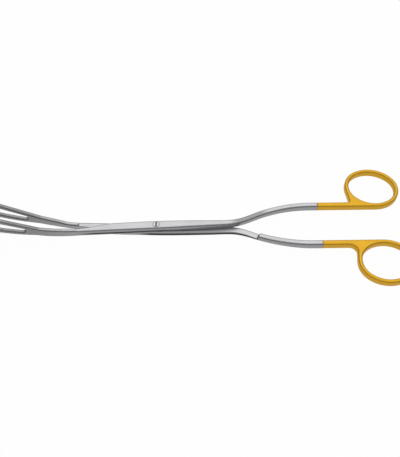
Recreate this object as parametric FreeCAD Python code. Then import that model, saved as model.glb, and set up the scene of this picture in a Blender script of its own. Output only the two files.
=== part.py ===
import FreeCAD
import Part
import math
import os

# Placenta forceps: two forged halves that cross and turn on one slotted screw.
# Millimetres. X runs from the screw towards the finger rings, Y across the
# instrument, Z up. The origin is on the screw's axis, on the flat underside
# of the rear half. The front half lies over the rear half at the joint, its
# ring is on the +Y side and its jaw on the -Y side.

V = FreeCAD.Vector
ORIGIN = V(0, 0, 0)
UP = V(0, 0, 1)

# Joint
JOINT_WIDTH = 6.0          # width of each half at the screw
JOINT_DEPTH = 4.3          # depth of each half at the screw
LAP_CLEARANCE = 0.04       # running gap between the two ground lap faces
GRINDING = 0.1             # metal that grinding takes off each outer face at the joint
LAP_GRINDING = 0.8         # metal that it takes off each lap face, which leaves its edges sharp
LAP_REACH = 68.7           # distance from the screw to where the ground faces' ends meet the long axis
JAW_SPLIT = 50.0           # distance from the screw at which the jaws part and leave the lap plane
RISE_SHARE = 0.85          # share of that distance at which the jaw sides start to rise
EDGE_BEVEL = 0.7           # bevel of the long steel edges
CLOSING_ANGLE = 5.2        # turn in degrees from the rest position until the jaws meet

# Shank
SHANK_WIDTH = 3.65
SHANK_DEPTH = 4.2
HANDLE_ANGLE = 1.7         # angle in degrees between the long axis and the handle at the joint
FLARE_START = 43.2         # distance from the screw to the outward bend
FLARE_ANGLE = 24.5         # angle in degrees of the flare between its two bends
OUTWARD_BEND = 40.0        # radius of the bend that starts the flare
RETURN_BEND = 85.0         # radius of the bend that ends it
RAISE_START = 34.0         # distance from the screw to where the handles leave their level at the joint
RAISE_END = 84.0           # distance from the screw to where they have the rings' level
TAPER_END = 60.0           # distance from the screw to where the half has thinned to the shank

# Finger rings
PLATING_START = 104.3      # distance from the screw to the edge of the gold plating
RING_CENTRE = 141.8        # distance from the screw to the hole's centre
RING_OFFSET = 28.8         # distance from the long axis to the hole's centre
RING_LENGTH = 30.0         # length of the hole, nearly along the instrument
RING_WIDTH = 26.2          # width of the hole
RING_FULLNESS = 0.5        # share of the length's excess over the width that the end radius gives up
RING_WALL = 2.65           # radial thickness
FRONT_RING_TURN = 9.0      # angle in degrees between the hole's length and the long axis
REAR_RING_TURN = 1.0       # the same on the rear half
RING_DEPTH = 5.0
RING_RISE = 1.3            # height of the rings' mid-plane over the lap plane
RING_BEVEL = 0.7           # bevel of the ring's edges
RING_LEAVE = 8.0           # angle in degrees past the ring's near end at which its wall runs down to the shank
FRONT_NOTCH = 1.5          # fillet between ring and shank on the front half
REAR_NOTCH = 4.5           # the same on the rear half

# Jaws
JAW_TIP = 120.0            # distance from the screw to the tip
JAW_ROOT = 74.0            # distance from the screw to the start of the loop's plate
JAW_RISE = 4.75            # height of the plate's centre over the lap plane at its start
JAW_ANGLE = 16.2           # upward angle in degrees of the plate at its start
JAW_BOW = 220.0            # radius of the plate's upward curve
JAW_THICKNESS = 2.6
JAW_HEIGHT = 12.6          # height of the loop at its widest
JAW_WIDEST = 11.0          # distance from the tip to the widest point
JAW_NOSE = 3.5             # radius of the tip
ROOT_HEIGHT = 6.0          # height of the plate at its start
WINDOW_HEIGHT = 6.6        # height of the window at its widest
WINDOW_NOSE = 2.0          # radius of the window's front end
WINDOW_HEEL = 1.8          # radius of the window's rear end
TIP_WALL = 2.8             # metal between the window and the tip
HEEL_WALL = 7.6            # metal between the window and the plate's start
JAW_BEVEL = 0.6            # bevel of the jaw's edges

# Screw
HEAD_DIAMETER = 3.9
HEAD_DEPTH = 1.5
SCREW_DIAMETER = 2.6
SCREW_CLEARANCE = 0.04     # radial running gap in the front half
SLOT_WIDTH = 0.7
SLOT_DEPTH = 0.6

RING_END_RADIUS = RING_WIDTH / 2 - RING_FULLNESS * (RING_LENGTH - RING_WIDTH) / 2
LAP_Z = JOINT_DEPTH        # height of the lap plane over the table
TOP_Z = 2 * JOINT_DEPTH    # height of the front half's face at the screw
SHANK_OFFSET = RING_OFFSET - RING_WIDTH / 2 - RING_WALL + SHANK_WIDTH / 2
PARTING_SLOPE = math.tan(math.radians(CLOSING_ANGLE / 2))
SPACING = 7.0              # distance between neighbouring sections of a shank
LOFT_DEGREE = 2            # a higher degree swings between the sections
BEYOND = 10.0              # reach of a cutting tool past what it cuts
EPS = 1e-6


def box(x, y, z):
    """Block between two limits along each axis."""
    return Part.makeBox(x[1] - x[0], y[1] - y[0], z[1] - z[0], V(x[0], y[0], z[0]))


def arc(centre, start, end):
    """The shorter arc about a centre from one point to another."""
    middle = ((start - centre) + (end - centre)).normalize() * (start - centre).Length
    return Part.Arc(start, centre + middle, end).toShape()


def line(start, end):
    return Part.LineSegment(start, end).toShape()


def blend(x, start, end):
    """Smooth value between two stations, each given as distance, value and slope."""
    x0, v0, m0 = start
    x1, v1, m1 = end
    length = x1 - x0
    t = min(max((x - x0) / length, 0), 1)
    rise = 3 * t ** 2 - 2 * t ** 3
    bend = m0 * (t ** 3 - 2 * t ** 2 + t) + m1 * (t ** 3 - t ** 2)
    return v0 + (v1 - v0) * rise + bend * length


def bow_point(distance):
    """Point on a jaw's centre line and its upward normal, at a distance from the root."""
    start = math.radians(JAW_ANGLE)
    turn = start + distance / JAW_BOW
    x = JAW_ROOT + JAW_BOW * (math.sin(turn) - math.sin(start))
    z = LAP_Z + JAW_RISE + JAW_BOW * (math.cos(start) - math.cos(turn))
    return V(-x, 0, z), V(math.sin(turn), 0, math.cos(turn))


def bow_length():
    """Length of the jaw's centre line from the root to the tip."""
    start = math.radians(JAW_ANGLE)
    end = math.asin((JAW_TIP - JAW_ROOT) / JAW_BOW + math.sin(start))
    return (end - start) * JAW_BOW


def swing(front):
    """Turn from the closed position, where the gripping faces meet on Y = 0, to rest."""
    side = 1 if front else -1
    return FreeCAD.Placement(ORIGIN, FreeCAD.Rotation(UP, side * CLOSING_ANGLE / 2))


def flank(end_centre, end_radius, crest, normal):
    """Arc that leaves a round end tangentially and is level with the crest; returns it and its foot."""
    apart = crest - end_centre
    radius = (apart.Length ** 2 - end_radius ** 2) / (2 * (apart.dot(normal) - end_radius))
    centre = crest - normal * radius
    away = (end_centre - centre).normalize() * math.copysign(end_radius, radius)
    foot = end_centre + away
    return arc(centre, foot, crest), foot


def round_end(low, high, middle):
    return Part.Arc(low, middle, high).toShape()


def jaw_outline():
    """Outline of the loop in side view, open at the root."""
    total = bow_length()
    tip = bow_point(total)[0]
    nose = bow_point(total - JAW_NOSE)[0]
    middle, normal = bow_point(total - JAW_WIDEST)
    root, root_normal = bow_point(0)
    edges = []
    feet = []
    for side in (-1, 1):
        crest = middle + normal * (side * JAW_HEIGHT / 2)
        shoulder, foot = flank(nose, JAW_NOSE, crest, normal * side)
        corner = root + root_normal * (side * ROOT_HEIGHT / 2)
        back, corner = flank(corner, 0, crest, normal * side)
        edges += [shoulder, back]
        feet.append((foot, corner))
    edges.append(round_end(feet[0][0], feet[1][0], tip))
    edges.append(line(feet[0][1], feet[1][1]))
    return edges


def window_outline():
    """Outline of the window in side view."""
    total = bow_length()
    middle, normal = bow_point(total - JAW_WIDEST)
    ends = [(bow_point(total - TIP_WALL), bow_point(total - TIP_WALL - WINDOW_NOSE), WINDOW_NOSE),
            (bow_point(HEEL_WALL), bow_point(HEEL_WALL + WINDOW_HEEL), WINDOW_HEEL)]
    edges = []
    for limit, centre, radius in ends:
        feet = []
        for side in (-1, 1):
            crest = middle + normal * (side * WINDOW_HEIGHT / 2)
            edge, foot = flank(centre[0], radius, crest, normal * side)
            edges.append(edge)
            feet.append(foot)
        edges.append(round_end(feet[0], feet[1], limit[0]))
    return edges


def prism(edges, depth):
    wire = Part.Wire(Part.__sortEdges__(edges))
    return Part.Face(wire).extrude(depth)


def jaw(front):
    """Fenestrated plate with bevelled edges, gripping face on Y = 0 before it swings to rest."""
    depth = V(0, -JAW_THICKNESS, 0)
    plate = prism(jaw_outline(), depth).cut(prism(window_outline(), depth))
    rims = [e for e in plate.Edges if e.Curve.TypeId == "Part::GeomCircle" and e.BoundBox.YLength < EPS]
    plate = plate.makeChamfer(JAW_BEVEL, rims)
    if not front:
        plate = plate.mirror(ORIGIN, V(0, 1, 0))
    plate.Placement = swing(front)
    return plate


def handle_line():
    """Centre line of the handle in plan: a straight stretch and two bends, up to the plating."""
    first = math.radians(HANDLE_ANGLE)
    flare = math.radians(FLARE_ANGLE)
    a = V(FLARE_START, FLARE_START * math.tan(first), 0)
    out_centre = a + V(-math.sin(first), math.cos(first), 0) * OUTWARD_BEND
    b = out_centre + V(math.sin(flare), -math.cos(flare), 0) * OUTWARD_BEND
    fall = RETURN_BEND * (1 - math.cos(flare))
    c = V(b.x + (SHANK_OFFSET - fall - b.y) / math.tan(flare), SHANK_OFFSET - fall, 0)
    d = V(c.x + RETURN_BEND * math.sin(flare), SHANK_OFFSET, 0)
    back_centre = d - V(0, RETURN_BEND, 0)
    end = V(PLATING_START, SHANK_OFFSET, 0)
    return Part.Wire([line(ORIGIN, a), arc(out_centre, a, b), line(b, c), arc(back_centre, c, d), line(d, end)])


def jaw_side(x):
    """Inner and outer edge in plan at a distance from the screw towards the jaw, on the front half."""
    split = (JAW_SPLIT, -JAW_SPLIT * PARTING_SLOPE, -PARTING_SLOPE)
    turn = JAW_SPLIT / 2
    inner = blend(x, (turn, JOINT_WIDTH / 2 - turn * PARTING_SLOPE, -PARTING_SLOPE), split)
    if x < turn:
        inner = JOINT_WIDTH / 2 - x * PARTING_SLOPE
    if x > JAW_SPLIT:
        inner = -x * PARTING_SLOPE
    outer = -JOINT_WIDTH / 2 - x * (JAW_THICKNESS + JAW_ROOT * PARTING_SLOPE - JOINT_WIDTH / 2) / JAW_ROOT
    return inner, outer


def forged_levels(front):
    """Lower and upper level of a half at the joint before it is ground."""
    if front:
        return LAP_Z - LAP_GRINDING, TOP_Z + GRINDING
    return -GRINDING, LAP_Z + LAP_GRINDING


def levels(front, x):
    """Lower and upper edge over the table, at a distance from the screw towards the jaw."""
    slope = math.tan(math.radians(JAW_ANGLE))
    height = ROOT_HEIGHT / math.cos(math.radians(JAW_ANGLE))
    root = LAP_Z + JAW_RISE
    base, top = forged_levels(front)
    rise_start = JAW_SPLIT * RISE_SHARE
    low = blend(x, (rise_start, base, 0), (JAW_ROOT, root - height / 2, slope))
    high_start = rise_start if front else JAW_SPLIT
    high = blend(x, (high_start, top, 0), (JAW_ROOT, root + height / 2, slope))
    return low, high


def jaw_sections(front):
    """Sections from the jaw's root to the screw: centre, width, height, bevel."""
    count = math.ceil(JAW_ROOT / SPACING)
    rows = []
    for i in range(count, 0, -1):
        x = JAW_ROOT * i / count
        inner, outer = jaw_side(x)
        low, high = levels(front, x)
        bevel = blend(x, (JAW_SPLIT, EDGE_BEVEL, 0), (JAW_ROOT, JAW_BEVEL, 0))
        rows.append((V(-x, (inner + outer) / 2, (low + high) / 2), inner - outer, high - low, bevel))
    return rows


def handle_sections(front):
    """Sections from the screw to the plating: centre, width, height, bevel."""
    base, top = forged_levels(front)
    path = handle_line()
    count = math.ceil(PLATING_START / SPACING) + 1
    rows = []
    for point in path.discretize(count):
        x = point.x
        width = blend(x, (0, JOINT_WIDTH, 0), (TAPER_END, SHANK_WIDTH, 0))
        height = blend(x, (0, top - base, 0), (TAPER_END, SHANK_DEPTH, 0))
        if x > TAPER_END:
            height = blend(x, (TAPER_END, SHANK_DEPTH, 0), (PLATING_START, RING_DEPTH, 0))
        z = blend(x, (RAISE_START, (base + top) / 2, 0), (RAISE_END, LAP_Z + RING_RISE, 0))
        bevel = blend(x, (RAISE_END, EDGE_BEVEL, 0), (PLATING_START, RING_BEVEL, 0))
        rows.append((V(x, point.y, z), width, height, bevel))
    return rows


def section(centre, across, up, width, height, bevel):
    """Closed wire of a bevelled rectangle that lies across the shank."""
    a = width / 2
    b = height / 2
    offsets = [(a, b - bevel), (a - bevel, b), (bevel - a, b), (-a, b - bevel)]
    offsets += [(-a, bevel - b), (bevel - a, -b), (a - bevel, -b), (a, bevel - b)]
    corners = [centre + across * u + up * v for u, v in offsets]
    return Part.makePolygon(corners + corners[:1])


def shank(front):
    """Loft from the jaw's root to the edge of the plating."""
    rows = jaw_sections(front) + handle_sections(front)
    wires = []
    for i, (centre, width, height, bevel) in enumerate(rows):
        before = rows[max(i - 1, 0)][0]
        after = rows[min(i + 1, len(rows) - 1)][0]
        along = after - before
        if i == 0:
            along = V(math.cos(math.radians(JAW_ANGLE)), PARTING_SLOPE, -math.sin(math.radians(JAW_ANGLE)))
        if i == len(rows) - 1:
            along = V(1, 0, 0)
        along = V(along.x, along.y, along.z).normalize()
        across = UP.cross(along).normalize()
        up = along.cross(across)
        wires.append(section(centre, across, up, width, height * up.z, bevel))
    body = Part.makeLoft(wires, True, False, False, LOFT_DEGREE)
    if not front:
        body = body.mirror(ORIGIN, V(0, 1, 0))
    return body


def oval():
    """Oval of four arcs: distances of the end and side arcs' centres from its own, and the side arcs' radius."""
    a = RING_LENGTH / 2
    b = RING_WIDTH / 2
    end = a - RING_END_RADIUS
    side_radius = (end ** 2 + b ** 2 - RING_END_RADIUS ** 2) / (2 * (b - RING_END_RADIUS))
    return end, side_radius - b, side_radius


def ring_point(turn, along, across):
    """Point in plan at distances along and across the hole's length, on the front half's side."""
    angle = math.radians(turn)
    x = along * math.cos(angle) + across * math.sin(angle)
    y = across * math.cos(angle) - along * math.sin(angle)
    return V(RING_CENTRE + x, RING_OFFSET + y, 0)


def oval_join(turn, sx, sy, wall):
    """Point where an end arc meets a side arc, in the quarter given by two signs."""
    end, side, side_radius = oval()
    away = V(sx * end, sy * side, 0).normalize() * (side_radius + wall)
    return ring_point(turn, away.x, away.y - sy * side)


def end_arc(turn, sx, wall):
    middle = ring_point(turn, sx * (RING_LENGTH / 2 + wall), 0)
    return Part.Arc(oval_join(turn, sx, -1, wall), middle, oval_join(turn, sx, 1, wall)).toShape()


def side_arc(turn, sy, wall):
    middle = ring_point(turn, 0, sy * (RING_WIDTH / 2 + wall))
    return Part.Arc(oval_join(turn, -1, sy, wall), middle, oval_join(turn, 1, sy, wall)).toShape()


def hole_outline(turn):
    return [end_arc(turn, 1, 0), end_arc(turn, -1, 0), side_arc(turn, 1, 0), side_arc(turn, -1, 0)]


def ring_outline(turn):
    """Edges of the ring handle in plan, on the front half's side, and its notch."""
    end, side, side_radius = oval()
    leave = math.radians(180 + RING_LEAVE)
    near_centre = ring_point(turn, -end, 0)
    edge = near_centre + V(math.cos(leave), math.sin(leave), 0) * (RING_END_RADIUS + RING_WALL)
    down = V(-math.sin(leave), math.cos(leave), 0)
    outer_y = SHANK_OFFSET + SHANK_WIDTH / 2
    notch = edge + down * ((outer_y - edge.y) / down.y)
    start = V(PLATING_START, SHANK_OFFSET - SHANK_WIDTH / 2, 0)
    finish = V(PLATING_START, outer_y, 0)
    side_centre = ring_point(turn, 0, side)
    foot = side_centre - V(0, side_radius + RING_WALL, 0)
    under = arc(side_centre, foot, oval_join(turn, 1, -1, RING_WALL))
    near = arc(near_centre, oval_join(turn, -1, 1, RING_WALL), edge)
    edges = [line(start, foot), under, end_arc(turn, 1, RING_WALL), side_arc(turn, 1, RING_WALL), near]
    edges += [line(edge, notch), line(notch, finish), line(finish, start)]
    return edges, notch


def ring_handle(front):
    """Gold-plated stretch of a half: the straight shank and its finger ring."""
    depth = V(0, 0, RING_DEPTH)
    turn = FRONT_RING_TURN if front else REAR_RING_TURN
    edges, notch = ring_outline(turn)
    plate = prism(edges, depth)
    corner = []
    for e in plate.Edges:
        ends = e.Vertexes
        if len(ends) == 2 and all(abs(v.X - notch.x) + abs(v.Y - notch.y) < EPS for v in ends):
            corner.append(e)
    plate = plate.makeFillet(FRONT_NOTCH if front else REAR_NOTCH, corner)
    plate = plate.cut(prism(hole_outline(turn), depth))
    rims = []
    for e in plate.Edges:
        level = e.BoundBox.ZLength < EPS
        across = e.BoundBox.XMax < PLATING_START + EPS
        if level and not across:
            rims.append(e)
    plate = plate.makeChamfer(RING_BEVEL, rims)
    if not front:
        plate = plate.mirror(ORIGIN, V(0, 1, 0))
    plate.translate(V(0, 0, LAP_Z + RING_RISE - RING_DEPTH / 2))
    return plate


def grinding_block(front, low, high):
    """What grinding takes off between two levels, up to an end that lies square across the flare."""
    slant = BEYOND * math.tan(math.radians(FLARE_ANGLE))
    corners = [V(-JAW_SPLIT, -BEYOND, low), V(LAP_REACH + slant, -BEYOND, low)]
    corners += [V(LAP_REACH - slant, BEYOND, low), V(-JAW_SPLIT, BEYOND, low)]
    block = Part.Face(Part.makePolygon(corners + corners[:1])).extrude(V(0, 0, high - low))
    if not front:
        block = block.mirror(ORIGIN, V(0, 1, 0))
    return block


def half(front):
    """Steel part of a half: jaw and shank, with its flat faces at the joint ground."""
    body = shank(front).fuse(jaw(front))
    gap = LAP_CLEARANCE / 2
    low = LAP_Z + gap if front else 0
    high = TOP_Z if front else LAP_Z - gap
    body = body.cut(grinding_block(front, low - BEYOND, low))
    return body.cut(grinding_block(front, high, high + BEYOND))


def drill(radius, low, high):
    return Part.makeCylinder(radius, high - low, V(0, 0, low))


def joint_screw():
    head_z = TOP_Z - HEAD_DEPTH
    screw = drill(SCREW_DIAMETER / 2, 0, head_z).fuse(drill(HEAD_DIAMETER / 2, head_z, TOP_Z))
    slot = box((-SLOT_WIDTH / 2, SLOT_WIDTH / 2), (-BEYOND, BEYOND), (TOP_Z - SLOT_DEPTH, TOP_Z + BEYOND))
    return screw.cut(slot).removeSplitter()


def front_half():
    """Front half with its countersunk clearance bore for the screw."""
    seat = TOP_Z - HEAD_DEPTH - SCREW_CLEARANCE
    body = half(True).cut(drill(SCREW_DIAMETER / 2 + SCREW_CLEARANCE, 0, TOP_Z + BEYOND))
    return body.cut(drill(HEAD_DIAMETER / 2 + SCREW_CLEARANCE, seat, TOP_Z + BEYOND))


def rear_half():
    """Rear half with the screw's bore."""
    return half(False).cut(drill(SCREW_DIAMETER / 2, -BEYOND, LAP_Z))


def main():
    os.makedirs("parts", exist_ok=True)
    parts = {
        "front_half": front_half(),
        "front_ring_handle": ring_handle(True),
        "rear_half": rear_half(),
        "rear_ring_handle": ring_handle(False),
        "joint_screw": joint_screw(),
    }
    for name, shape in parts.items():
        shape.exportStep("parts/" + name + ".step")


main()
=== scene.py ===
import math

import bmesh
import bpy
from bpy.props import FloatProperty, FloatVectorProperty, PointerProperty
from mathutils import Matrix, Vector


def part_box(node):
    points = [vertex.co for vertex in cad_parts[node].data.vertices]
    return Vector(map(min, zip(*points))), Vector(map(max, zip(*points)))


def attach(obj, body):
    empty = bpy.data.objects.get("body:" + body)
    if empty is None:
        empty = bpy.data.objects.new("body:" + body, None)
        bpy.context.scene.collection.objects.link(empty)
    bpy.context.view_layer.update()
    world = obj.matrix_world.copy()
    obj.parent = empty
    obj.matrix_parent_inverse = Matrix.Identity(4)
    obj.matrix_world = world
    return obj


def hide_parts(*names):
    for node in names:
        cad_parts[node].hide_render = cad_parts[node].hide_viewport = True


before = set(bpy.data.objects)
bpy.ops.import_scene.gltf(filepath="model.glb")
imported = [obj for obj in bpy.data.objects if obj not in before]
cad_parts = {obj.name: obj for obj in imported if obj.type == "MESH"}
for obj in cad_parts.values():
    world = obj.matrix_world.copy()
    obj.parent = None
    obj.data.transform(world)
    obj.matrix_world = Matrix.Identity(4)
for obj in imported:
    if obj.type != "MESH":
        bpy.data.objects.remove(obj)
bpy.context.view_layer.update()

bl_info = {
    "name": "Placenta Forceps",
    "version": (1, 0, 0),
    "blender": (4, 5, 0),
    "location": "3D View > Sidebar > Forceps",
    "description": "Finished looks for a pair of ring-handled placenta forceps on a white table",
    "category": "Object",
}

MM = 0.001

# The photograph's frame and the view that was fitted to it
IMAGE_WIDTH = 400
IMAGE_HEIGHT = 457
FOCAL_PIXELS = 607.7
AXIS_PIXEL = (203.3, 228.0)      # where the optical axis meets the picture
JOINT_PIXEL = (156.5, 228.2)     # where the joint's centre shows in the picture
MM_PER_PIXEL = 0.64              # at the joint
CAMERA_ELEVATION = 54.27         # degrees above the table
CAMERA_ROLL = -0.725             # degrees
SENSOR_WIDTH = 36.0

# Places on the steel where the finishes and the painted shade start and where they are full, in millimetres
BLASTED = (-52.0, -78.0)         # the jaws are blasted dull
LAP_HEIGHT = 4.3                 # height of the plane in which the halves meet
LOWER_SHADE_HEIGHT = (3.2, 2.6)          # height up to which the lower half's edge is painted dark as shade
LOWER_SHADE_JAW_END = (-12.0, -4.0)
LOWER_SHADE_RING_END = (66.0, 62.0)
HANDLE_RISE = (34.0, 84.0)       # stretch over which that edge rises to the handle
HANDLE_LIFT = 3.5
UPPER_SHADE_HEIGHT = (6.6, 6.0)          # height up to which the upper half's side is painted dark as shade
UPPER_SHADE_START = (4.6, 5.0)        # height above which the painted shade comes in on the upper half's side
UPPER_SHADE_JAW_END = (-50.0, -40.0)
UPPER_SHADE_RING_END = (24.0, 4.0)
STEP_LINE = (67.4, 67.8)         # end of the rear half's milled face, where it meets the long axis
STEP_SLANT = -0.456              # shift of that end along the bar for each millimetre across it
STEP_HEIGHT = LAP_HEIGHT + 0.2   # what faces up below this height is the milled face
ETCHED_JAW_END = (47.0, 52.0)    # finely etched field on the front shank
ETCHED_RING_END = (72.0, 67.0)
FRONT_SHANK = 0.5                # past this distance from the long axis lies the front half's shank

# Shares of the steel's and the gold's own colour that the finishes and the painted shade leave
BLASTED_SHADE = 0.85
# painted shade: the dark bands along the lower edges at the joint and in the corner of the step
PAINTED_SHADE_SHARE = 0.12
ETCHED_SHADE = 0.58
GOLD_SIDE_PAINTED_SHADE = 0.84
GRAIN_SHADE = (0.93, 1.03)
GOLD_CLOUD_SHADE = (0.93, 1.05)

# How far a face looks up or down, where 1 is level, at the start and the full strength of the finishes and
# the painted shade
GROUND_LIT_FACING = (0.82, 0.97)
SHADE_FACING = (0.6, 0.3)

# Roughness of the finishes, and the sizes of their patterns
STEEL_ROUGHNESS = (0.24, 0.34)
BLASTED_ROUGHNESS = 0.16         # added to the steel's
SCREW_ROUGHNESS = 0.28
GOLD_ROUGHNESS = (0.44, 0.54)
GRAIN_STRETCH = 20               # how many times longer than wide the grinding lines are
STEEL_CLOUD = 12 * MM            # width of the clouds that tumbling leaves
GOLD_CLOUD = 9 * MM              # width of the patches of thicker plating
CLOUD_RANGE = (0.3, 0.7)         # the clouds' values between which the roughness changes
WAVE_PERIOD = 2 * math.pi / 20   # distance between a wave texture's rings at a scale of 1
SLOT_SHADE_DEPTH = (0.05 * MM, 0.2 * MM)     # below the screw's top, where the slot turns black with painted shade

# Making the pieces
WELD_DISTANCE = 0.001 * MM
FLAT_ANGLE = math.radians(0.6)   # facets that turn less than this are one face
SHARP_ANGLE = math.radians(24)   # edges that turn more than this are rounded

# The studio
SOFTBOX_SIZE = (1.6, 1.1)
SOFTBOX_DISTANCE = 1.25
SOFTBOX_SHIFT = 0.12             # sideways, as a share of the distance
WHITE_POWER = 4                  # watts at which a square metre of the softbox shows as white
TABLE_WHITE = 0.97               # share of plain white that eye and metal see in the table
WALL_LEVEL = 0.26
CEILING_LEVEL = 1.0
WALL_TOP = 0.42                  # height of the walls' top, where 1 is straight overhead
CEILING_EDGE = 0.85


def srgb(code):
    """Linear colour of an sRGB hex value."""
    values = [int(code[i:i + 2], 16) / 255 for i in (1, 3, 5)]
    return [v / 12.92 if v <= 0.04045 else ((v + 0.055) / 1.055) ** 2.4 for v in values]


def node(tree, kind, settings):
    """Add a node; each setting is an attribute or an input, and a socket given for an input is linked."""
    made = tree.nodes.new(kind)
    for key, value in settings.items():
        if isinstance(value, bpy.types.NodeSocket):
            tree.links.new(value, made.inputs[key])
        elif isinstance(key, str) and hasattr(made, key):
            setattr(made, key, value)
        else:
            made.inputs[key].default_value = value
    return made


def new_material(name):
    """Empty node material and its tree."""
    material = bpy.data.materials.new(name)
    material.use_nodes = True
    material.node_tree.nodes.clear()
    return material, material.node_tree


def rgba(colour):
    """Colour with full opacity."""
    return (colour[0], colour[1], colour[2], 1.0)


class ForcepsFinish(bpy.types.PropertyGroup):
    """Sizes and colours of the finished surfaces."""

    edge_round: FloatProperty(
        name="Edge rounding", description="Radius left on the tumbled edges of the steel",
        default=0.45 * MM, min=0.05 * MM, max=0.6 * MM, unit="LENGTH", precision=5)
    ring_round: FloatProperty(
        name="Ring rounding", description="Radius left on the edges of the plated finger rings",
        default=0.45 * MM, min=0.05 * MM, max=0.6 * MM, unit="LENGTH", precision=5)
    screw_round: FloatProperty(
        name="Screw rounding", description="Radius left on the edges of the joint screw",
        default=0.08 * MM, min=0.02 * MM, max=0.3 * MM, unit="LENGTH", precision=5)
    edge_blend: FloatProperty(
        name="Edge softness", description="Radius over which edges catch the light as if worn",
        default=0.9 * MM, min=0.05 * MM, max=2 * MM, unit="LENGTH", precision=5)
    steel_colour: FloatVectorProperty(
        name="Ground steel", description="Colour of the flat faces, which are ground",
        default=srgb("#B5B5B7"), size=3, min=0, max=1, subtype="COLOR")
    # the sides' darker colour is partly their tumbled finish and partly painted shade
    shaded_side_colour: FloatVectorProperty(
        name="Tumbled steel", description="Colour of the sides, which are only tumbled",
        default=srgb("#949496"), size=3, min=0, max=1, subtype="COLOR")
    # painted shade: the colour that stands in for the shade in the screw's slot
    slot_shade_colour: FloatVectorProperty(
        name="Screw slot", description="Colour of the polishing paste in the screw's slot",
        default=srgb("#1E1E20"), size=3, min=0, max=1, subtype="COLOR")
    gold_colour: FloatVectorProperty(
        name="Gold plating", description="Colour of the plated handles",
        default=srgb("#DFAE34"), size=3, min=0, max=1, subtype="COLOR")
    # real grinding lines are 0.05 mm apart and turning marks 0.1 mm; both are drawn coarser, to show
    grain: FloatProperty(
        name="Grinding grain", description="Distance between the lines that the grinding belt leaves",
        default=0.35 * MM, min=0.05 * MM, max=2 * MM, unit="LENGTH", precision=5)
    turning: FloatProperty(
        name="Turning marks", description="Distance between the rings that the lathe leaves on the screw",
        default=2.2 * MM, min=0.05 * MM, max=5 * MM, unit="LENGTH", precision=5)


class ForcepsStage(bpy.types.PropertyGroup):
    """Table and light."""

    table_colour: FloatVectorProperty(
        name="Table", description="Colour of the table top",
        default=srgb("#F6F6F6"), size=3, min=0, max=1, subtype="COLOR")
    table_size: FloatProperty(
        name="Table size", description="Length of the table's side",
        default=6.0, min=1, max=20, unit="LENGTH")
    light_level: FloatProperty(
        name="Softbox level", description="Brightness of the softbox, where 1 is white",
        default=0.45, min=0, max=20)


def limited(tree, mask, limits):
    """Mask kept within its limits; each is a value, where the mask starts to come in and where it is full."""
    for value, (start, full) in limits:
        ramp = node(tree, "ShaderNodeMapRange", {"Value": value, "From Min": start, "From Max": full})
        mask = node(tree, "ShaderNodeMath",
                    {"operation": "MULTIPLY", 0: mask, 1: ramp.outputs["Result"]}).outputs[0]
    return mask


def painted_edge_shade(tree, x, z, level):
    """Mask of the painted shade along the lower edges of both halves at the joint, which stands in for the
    shadow that these edges mirror.
    """
    above = node(tree, "ShaderNodeMath", {"operation": "GREATER_THAN", 0: z, 1: LAP_HEIGHT}).outputs[0]
    below = node(tree, "ShaderNodeMath", {"operation": "SUBTRACT", 0: 1.0, 1: above}).outputs[0]
    rise = node(tree, "ShaderNodeMapRange",
                {"interpolation_type": "SMOOTHSTEP", "Value": x, "From Min": HANDLE_RISE[0],
                 "From Max": HANDLE_RISE[1], "To Max": HANDLE_LIFT})
    height = node(tree, "ShaderNodeMath", {"operation": "SUBTRACT", 0: z, 1: rise.outputs["Result"]})
    lower = limited(tree, below, ((height.outputs[0], LOWER_SHADE_HEIGHT),
                                  (x, LOWER_SHADE_JAW_END), (x, LOWER_SHADE_RING_END)))
    upper = limited(tree, above, ((z, UPPER_SHADE_HEIGHT), (z, UPPER_SHADE_START),
                                  (x, UPPER_SHADE_JAW_END), (x, UPPER_SHADE_RING_END)))
    shade_band = node(tree, "ShaderNodeMath", {"operation": "MAXIMUM", 0: lower, 1: upper})
    return limited(tree, shade_band.outputs[0], ((level, SHADE_FACING),))


def step_corner_shade(tree, x, y, z, facing_up):
    """Mask of the painted shade in the corner at the end of the rear half's milled face."""
    place = node(tree, "ShaderNodeMath", {"operation": "MULTIPLY_ADD", 0: y, 1: STEP_SLANT, 2: x})
    low = node(tree, "ShaderNodeMath", {"operation": "LESS_THAN", 0: z, 1: STEP_HEIGHT})
    return limited(tree, low.outputs[0], ((place.outputs[0], STEP_LINE), (facing_up, (0, 1))))


def etched_field(tree, x, y, ground):
    """Mask of the finely etched field on the front half's shank."""
    own_side = node(tree, "ShaderNodeMath", {"operation": "GREATER_THAN", 0: y, 1: FRONT_SHANK})
    return limited(tree, own_side.outputs[0], ((x, ETCHED_JAW_END), (x, ETCHED_RING_END), (ground, (0, 1))))


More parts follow.
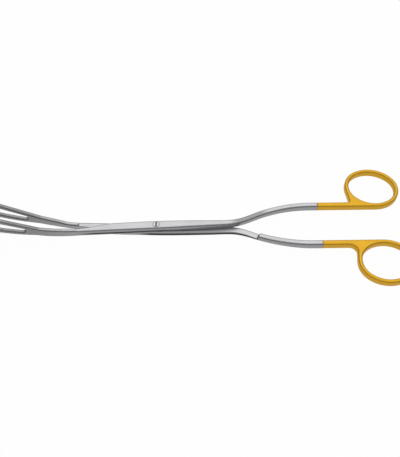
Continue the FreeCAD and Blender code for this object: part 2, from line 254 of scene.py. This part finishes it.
def steel_material(finish):
    """Martensitic stainless steel, forged, ground along its flat faces and tumbled to a satin.

    The flat faces look bright; the sides look darker, partly from their tumbled finish and partly from
    painted shade; the jaws were blasted dull so as not to glare.
    """
    material, tree = new_material("satin_stainless_steel")
    place = node(tree, "ShaderNodeTexCoord", {})
    millimetres = node(tree, "ShaderNodeVectorMath",
                       {"operation": "SCALE", 0: place.outputs["Object"], "Scale": 1 / MM})
    spot = node(tree, "ShaderNodeSeparateXYZ", {"Vector": millimetres.outputs[0]})
    x, y, z = (spot.outputs[axis] for axis in "XYZ")
    facing_up = node(tree, "ShaderNodeSeparateXYZ", {"Vector": place.outputs["Normal"]}).outputs["Z"]
    level = node(tree, "ShaderNodeMath", {"operation": "ABSOLUTE", 0: facing_up}).outputs[0]
    # the belt runs along the bars
    per_metre = 1 / finish.grain
    along = node(tree, "ShaderNodeMapping", {"Vector": place.outputs["Object"],
                                             "Scale": (per_metre / GRAIN_STRETCH, per_metre, per_metre)})
    lines = node(tree, "ShaderNodeTexNoise", {"Vector": along.outputs["Vector"], "Scale": 1.0,
                                              "Detail": 3.0, "Roughness": 0.6})
    clouds = node(tree, "ShaderNodeTexNoise", {"Vector": place.outputs["Object"], "Scale": 1 / STEEL_CLOUD,
                                               "Detail": 2.0})
    # the sides take the darker colour: partly their tumbled finish, partly painted shade
    ground = node(tree, "ShaderNodeMapRange", {"Value": level, "From Min": GROUND_LIT_FACING[0],
                                               "From Max": GROUND_LIT_FACING[1]}).outputs["Result"]
    steel = node(tree, "ShaderNodeMix", {"data_type": "RGBA", "Factor": ground,
                                         "A": rgba(finish.shaded_side_colour), "B": rgba(finish.steel_colour)})
    blasted = node(tree, "ShaderNodeMapRange", {"Value": x, "From Min": BLASTED[0],
                                                "From Max": BLASTED[1]}).outputs["Result"]
    shade = node(tree, "ShaderNodeMapRange", {"Value": lines.outputs["Fac"], "To Min": GRAIN_SHADE[0],
                                              "To Max": GRAIN_SHADE[1]}).outputs["Result"]
    # the blasted jaws, the painted shade along the lower edges and in the step's corner, and the etched field
    # darken the colour in turn
    for mask, darkest in ((blasted, BLASTED_SHADE),
                          (painted_edge_shade(tree, x, z, level), PAINTED_SHADE_SHARE),
                          (step_corner_shade(tree, x, y, z, facing_up), PAINTED_SHADE_SHARE),
                          (etched_field(tree, x, y, ground), ETCHED_SHADE)):
        part = node(tree, "ShaderNodeMapRange", {"Value": mask, "To Min": 1.0, "To Max": darkest})
        shade = node(tree, "ShaderNodeMath",
                     {"operation": "MULTIPLY", 0: shade, 1: part.outputs["Result"]}).outputs[0]
    tint = node(tree, "ShaderNodeVectorMath",
                {"operation": "SCALE", 0: steel.outputs["Result"], "Scale": shade})
    rough = node(tree, "ShaderNodeMapRange",
                 {"Value": clouds.outputs["Fac"], "From Min": CLOUD_RANGE[0], "From Max": CLOUD_RANGE[1],
                  "To Min": STEEL_ROUGHNESS[0], "To Max": STEEL_ROUGHNESS[1]})
    rough = node(tree, "ShaderNodeMath", {"operation": "MULTIPLY_ADD", 0: blasted, 1: BLASTED_ROUGHNESS,
                                          2: rough.outputs["Result"]})
    soft = node(tree, "ShaderNodeBevel", {"samples": 8, "Radius": finish.edge_blend})
    relief = node(tree, "ShaderNodeBump", {"Strength": 0.12, "Distance": 0.02 * MM,
                                           "Height": lines.outputs["Fac"], "Normal": soft.outputs["Normal"]})
    shader = node(tree, "ShaderNodeBsdfPrincipled",
                  {"Metallic": 1.0, "Anisotropic": 0.3, "Base Color": tint.outputs[0],
                   "Roughness": rough.outputs[0], "Normal": relief.outputs["Normal"]})
    node(tree, "ShaderNodeOutputMaterial", {"Surface": shader.outputs["BSDF"]})
    return material


def screw_material(finish):
    """Turned stainless steel screw: a bright flat head with a slot painted black as shade."""
    material, tree = new_material("turned_stainless_screw")
    place = node(tree, "ShaderNodeTexCoord", {})
    rings = node(tree, "ShaderNodeTexWave", {"wave_type": "RINGS", "rings_direction": "Z", "Distortion": 0.4,
                                             "Scale": WAVE_PERIOD / finish.turning,
                                             "Vector": place.outputs["Object"]})
    height = node(tree, "ShaderNodeSeparateXYZ", {"Vector": place.outputs["Object"]}).outputs["Z"]
    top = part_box("joint_screw")[1].z
    # painted shade: below the top the slot turns black
    sunk = node(tree, "ShaderNodeMapRange", {"Value": height, "From Min": top - SLOT_SHADE_DEPTH[0],
                                             "From Max": top - SLOT_SHADE_DEPTH[1]})
    tint = node(tree, "ShaderNodeMix", {"data_type": "RGBA", "Factor": sunk.outputs["Result"],
                                        "A": rgba(finish.steel_colour), "B": rgba(finish.slot_shade_colour)})
    relief = node(tree, "ShaderNodeBump",
                  {"Strength": 0.1, "Distance": 0.01 * MM, "Height": rings.outputs["Fac"]})
    shader = node(tree, "ShaderNodeBsdfPrincipled", {"Metallic": 1.0, "Roughness": SCREW_ROUGHNESS,
                                                     "Base Color": tint.outputs["Result"],
                                                     "Normal": relief.outputs["Normal"]})
    node(tree, "ShaderNodeOutputMaterial", {"Surface": shader.outputs["BSDF"]})
    return material


def gold_material(finish):
    """Hard gold plated over satin steel: warm, softly shining, and deeper where the plating is thick."""
    material, tree = new_material("gold_plated_steel")
    place = node(tree, "ShaderNodeTexCoord", {})
    clouds = node(tree, "ShaderNodeTexNoise", {"Vector": place.outputs["Object"], "Scale": 1 / GOLD_CLOUD,
                                               "Detail": 3.0})
    grit = node(tree, "ShaderNodeTexNoise", {"Vector": place.outputs["Object"], "Scale": 1 / finish.grain,
                                             "Detail": 2.0})
    rough = node(tree, "ShaderNodeMapRange",
                 {"Value": clouds.outputs["Fac"], "From Min": CLOUD_RANGE[0], "From Max": CLOUD_RANGE[1],
                  "To Min": GOLD_ROUGHNESS[0], "To Max": GOLD_ROUGHNESS[1]})
    # the sides get painted shade: their colour darkens as they turn from level
    facing_up = node(tree, "ShaderNodeSeparateXYZ", {"Vector": place.outputs["Normal"]}).outputs["Z"]
    level = node(tree, "ShaderNodeMath", {"operation": "ABSOLUTE", 0: facing_up}).outputs[0]
    shaded_side_colour = [value * GOLD_SIDE_PAINTED_SHADE for value in finish.gold_colour]
    gold = node(tree, "ShaderNodeMix", {"data_type": "RGBA", "Factor": level,
                                        "A": rgba(shaded_side_colour), "B": rgba(finish.gold_colour)})
    shade = node(tree, "ShaderNodeMapRange", {"Value": clouds.outputs["Fac"], "To Min": GOLD_CLOUD_SHADE[0],
                                              "To Max": GOLD_CLOUD_SHADE[1]})
    tint = node(tree, "ShaderNodeVectorMath", {"operation": "SCALE", 0: gold.outputs["Result"],
                                               "Scale": shade.outputs["Result"]})
    soft = node(tree, "ShaderNodeBevel", {"samples": 8, "Radius": finish.edge_blend})
    relief = node(tree, "ShaderNodeBump", {"Strength": 0.1, "Distance": 0.02 * MM,
                                           "Height": grit.outputs["Fac"], "Normal": soft.outputs["Normal"]})
    shader = node(tree, "ShaderNodeBsdfPrincipled", {"Metallic": 1.0, "Base Color": tint.outputs[0],
                                                     "Roughness": rough.outputs["Result"],
                                                     "Normal": relief.outputs["Normal"]})
    node(tree, "ShaderNodeOutputMaterial", {"Surface": shader.outputs["BSDF"]})
    return material


def table_material(stage):
    """White laminate table top, matt: shows as plain white with a faint shadow."""
    material, tree = new_material("white_laminate")
    ray = node(tree, "ShaderNodeLightPath", {})
    seen = ray.outputs["Is Camera Ray"]
    for kind in ("Is Glossy Ray", "Is Transmission Ray"):
        seen = node(tree, "ShaderNodeMath",
                    {"operation": "MAXIMUM", 0: seen, 1: ray.outputs[kind]}).outputs[0]
    share = node(tree, "ShaderNodeMath", {"operation": "MULTIPLY", 0: seen, 1: TABLE_WHITE})
    matt = node(tree, "ShaderNodeBsdfDiffuse", {"Color": rgba(stage.table_colour)})
    white = node(tree, "ShaderNodeEmission", {"Color": (1, 1, 1, 1), "Strength": 1.0})
    mixed = node(tree, "ShaderNodeMixShader", {0: share.outputs[0], 1: matt.outputs[0], 2: white.outputs[0]})
    node(tree, "ShaderNodeOutputMaterial", {"Surface": mixed.outputs[0]})
    return material


def rounded_piece(name, source, radius, material):
    """New piece with the outline of a CAD node and softly rounded edges, which stands for that node."""
    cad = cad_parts[source].data
    mesh = bpy.data.meshes.new(name)
    mesh.from_pydata([v.co for v in cad.vertices], [], [p.vertices for p in cad.polygons])
    work = bmesh.new()
    work.from_mesh(mesh)
    bmesh.ops.remove_doubles(work, verts=work.verts, dist=WELD_DISTANCE)
    bmesh.ops.dissolve_limit(work, angle_limit=FLAT_ANGLE, verts=work.verts, edges=work.edges)
    work.to_mesh(mesh)
    work.free()
    for face in mesh.polygons:
        face.use_smooth = True
    piece = bpy.data.objects.new(name, mesh)
    bpy.context.scene.collection.objects.link(piece)
    bevel = piece.modifiers.new("edges", "BEVEL")
    bevel.width = radius
    bevel.segments = 3
    bevel.limit_method = "ANGLE"
    bevel.angle_limit = SHARP_ANGLE
    bevel.harden_normals = True
    bevel.use_clamp_overlap = True
    mesh.materials.append(material)
    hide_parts(source)
    return piece


class FORCEPS_OT_halves(bpy.types.Operator):
    """Build the two steel halves with their fenestrated jaws"""

    bl_idname = "forceps.halves"
    bl_label = "Steel halves"

    def execute(self, context):
        finish = context.scene.forceps_finish
        steel = steel_material(finish)
        for source, body in (("front_half", "front"), ("rear_half", "rear")):
            piece = rounded_piece("shaped_" + source, source, finish.edge_round, steel)
            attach(piece, body)
        return {"FINISHED"}


class FORCEPS_OT_handles(bpy.types.Operator):
    """Build the two gold-plated finger rings"""

    bl_idname = "forceps.handles"
    bl_label = "Finger rings"

    def execute(self, context):
        finish = context.scene.forceps_finish
        gold = gold_material(finish)
        for source, body in (("front_ring_handle", "front"), ("rear_ring_handle", "rear")):
            piece = rounded_piece("shaped_" + source, source, finish.ring_round, gold)
            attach(piece, body)
        return {"FINISHED"}


class FORCEPS_OT_screw(bpy.types.Operator):
    """Build the slotted joint screw"""

    bl_idname = "forceps.screw"
    bl_label = "Joint screw"

    def execute(self, context):
        finish = context.scene.forceps_finish
        piece = rounded_piece("slotted_screw", "joint_screw", finish.screw_round, screw_material(finish))
        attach(piece, "rear")
        return {"FINISHED"}


def add_table(stage):
    """Table top, level with the lowest face of the forceps."""
    half = stage.table_size / 2
    mesh = bpy.data.meshes.new("table")
    corners = [(-half, -half, 0), (half, -half, 0), (half, half, 0), (-half, half, 0)]
    mesh.from_pydata(corners, [], [(0, 1, 2, 3)])
    table = bpy.data.objects.new("table", mesh)
    bpy.context.scene.collection.objects.link(table)
    mesh.materials.append(table_material(stage))


def add_softbox(stage):
    """Large soft light behind the forceps, where their level faces mirror it into the camera."""
    lamp = bpy.data.lights.new("softbox", "AREA")
    lamp.shape = "RECTANGLE"
    lamp.size, lamp.size_y = SOFTBOX_SIZE
    lamp.energy = WHITE_POWER * lamp.size * lamp.size_y * stage.light_level
    holder = bpy.data.objects.new("softbox", lamp)
    rise = math.radians(CAMERA_ELEVATION)
    holder.location = Vector((SOFTBOX_SHIFT, math.cos(rise), math.sin(rise))) * SOFTBOX_DISTANCE
    holder.rotation_euler = holder.location.to_track_quat("Z", "Y").to_euler()
    bpy.context.scene.collection.objects.link(holder)


def add_world():
    """Studio: a pale ceiling over dim walls, which edges and rounded sides mirror as thin dark lines."""
    world = bpy.data.worlds.new("studio")
    bpy.context.scene.world = world
    world.use_nodes = True
    tree = world.node_tree
    tree.nodes.clear()
    place = node(tree, "ShaderNodeTexCoord", {})
    up = node(tree, "ShaderNodeSeparateXYZ", {"Vector": place.outputs["Generated"]})
    level = node(tree, "ShaderNodeMapRange",
                 {"interpolation_type": "SMOOTHSTEP", "Value": up.outputs["Z"], "From Min": WALL_TOP,
                  "From Max": CEILING_EDGE, "To Min": WALL_LEVEL, "To Max": CEILING_LEVEL})
    walls = node(tree, "ShaderNodeBackground", {"Color": (1, 1, 1, 1), "Strength": level.outputs["Result"]})
    node(tree, "ShaderNodeOutputWorld", {"Surface": walls.outputs[0]})


def add_camera():
    """Camera at the photograph's angle, turned about the joint."""
    rise = math.radians(CAMERA_ELEVATION)
    roll = math.radians(CAMERA_ROLL)
    forward = Vector((0, math.cos(rise), -math.sin(rise)))
    level_up = Vector((0, math.sin(rise), math.cos(rise)))
    level_right = Vector((1, 0, 0))
    right = math.cos(roll) * level_right + math.sin(roll) * level_up
    up = -math.sin(roll) * level_right + math.cos(roll) * level_up
    across = (JOINT_PIXEL[0] - AXIS_PIXEL[0]) / FOCAL_PIXELS
    above = (AXIS_PIXEL[1] - JOINT_PIXEL[1]) / FOCAL_PIXELS
    distance = FOCAL_PIXELS * MM_PER_PIXEL * MM
    low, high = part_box("joint_screw")
    joint = Vector((0, 0, (low.z + high.z) / 2))
    place = joint - distance * (forward + across * right + above * up)
    lens = bpy.data.cameras.new("camera")
    lens.sensor_fit = "HORIZONTAL"
    lens.sensor_width = SENSOR_WIDTH
    lens.lens = SENSOR_WIDTH * FOCAL_PIXELS / IMAGE_WIDTH
    lens.shift_x = (IMAGE_WIDTH / 2 - AXIS_PIXEL[0]) / IMAGE_WIDTH
    lens.shift_y = (AXIS_PIXEL[1] - IMAGE_HEIGHT / 2) / IMAGE_WIDTH
    lens.clip_start = 0.01
    camera = bpy.data.objects.new("camera", lens)
    turn = Matrix((right, up, -forward)).transposed()
    camera.matrix_world = Matrix.Translation(place) @ turn.to_4x4()
    bpy.context.scene.collection.objects.link(camera)
    bpy.context.scene.camera = camera


class FORCEPS_OT_stage(bpy.types.Operator):
    """Set the table, the light and the camera"""

    bl_idname = "forceps.stage"
    bl_label = "Table, light and camera"

    def execute(self, context):
        stage = context.scene.forceps_stage
        context.scene.view_settings.view_transform = "Standard"
        add_table(stage)
        add_world()
        add_softbox(stage)
        add_camera()
        return {"FINISHED"}


class FORCEPS_PT_build(bpy.types.Panel):
    """Sizes, colours and pieces of the forceps"""

    bl_label = "Forceps"
    bl_idname = "FORCEPS_PT_build"
    bl_space_type = "VIEW_3D"
    bl_region_type = "UI"
    bl_category = "Forceps"

    def draw(self, context):
        for group in (context.scene.forceps_finish, context.scene.forceps_stage):
            column = self.layout.column(align=True)
            for key in group.__annotations__:
                column.prop(group, key)
        for step in STEPS:
            self.layout.operator(step.bl_idname)


STEPS = (FORCEPS_OT_halves, FORCEPS_OT_handles, FORCEPS_OT_screw, FORCEPS_OT_stage)
CLASSES = (ForcepsFinish, ForcepsStage) + STEPS + (FORCEPS_PT_build,)


def register():
    for item in CLASSES:
        bpy.utils.register_class(item)
    bpy.types.Scene.forceps_finish = PointerProperty(type=ForcepsFinish)
    bpy.types.Scene.forceps_stage = PointerProperty(type=ForcepsStage)


def unregister():
    del bpy.types.Scene.forceps_stage
    del bpy.types.Scene.forceps_finish
    for item in reversed(CLASSES):
        bpy.utils.unregister_class(item)


def main():
    register()
    bpy.ops.forceps.halves()
    bpy.ops.forceps.handles()
    bpy.ops.forceps.screw()
    bpy.ops.forceps.stage()


if __name__ == "__main__":
    main()
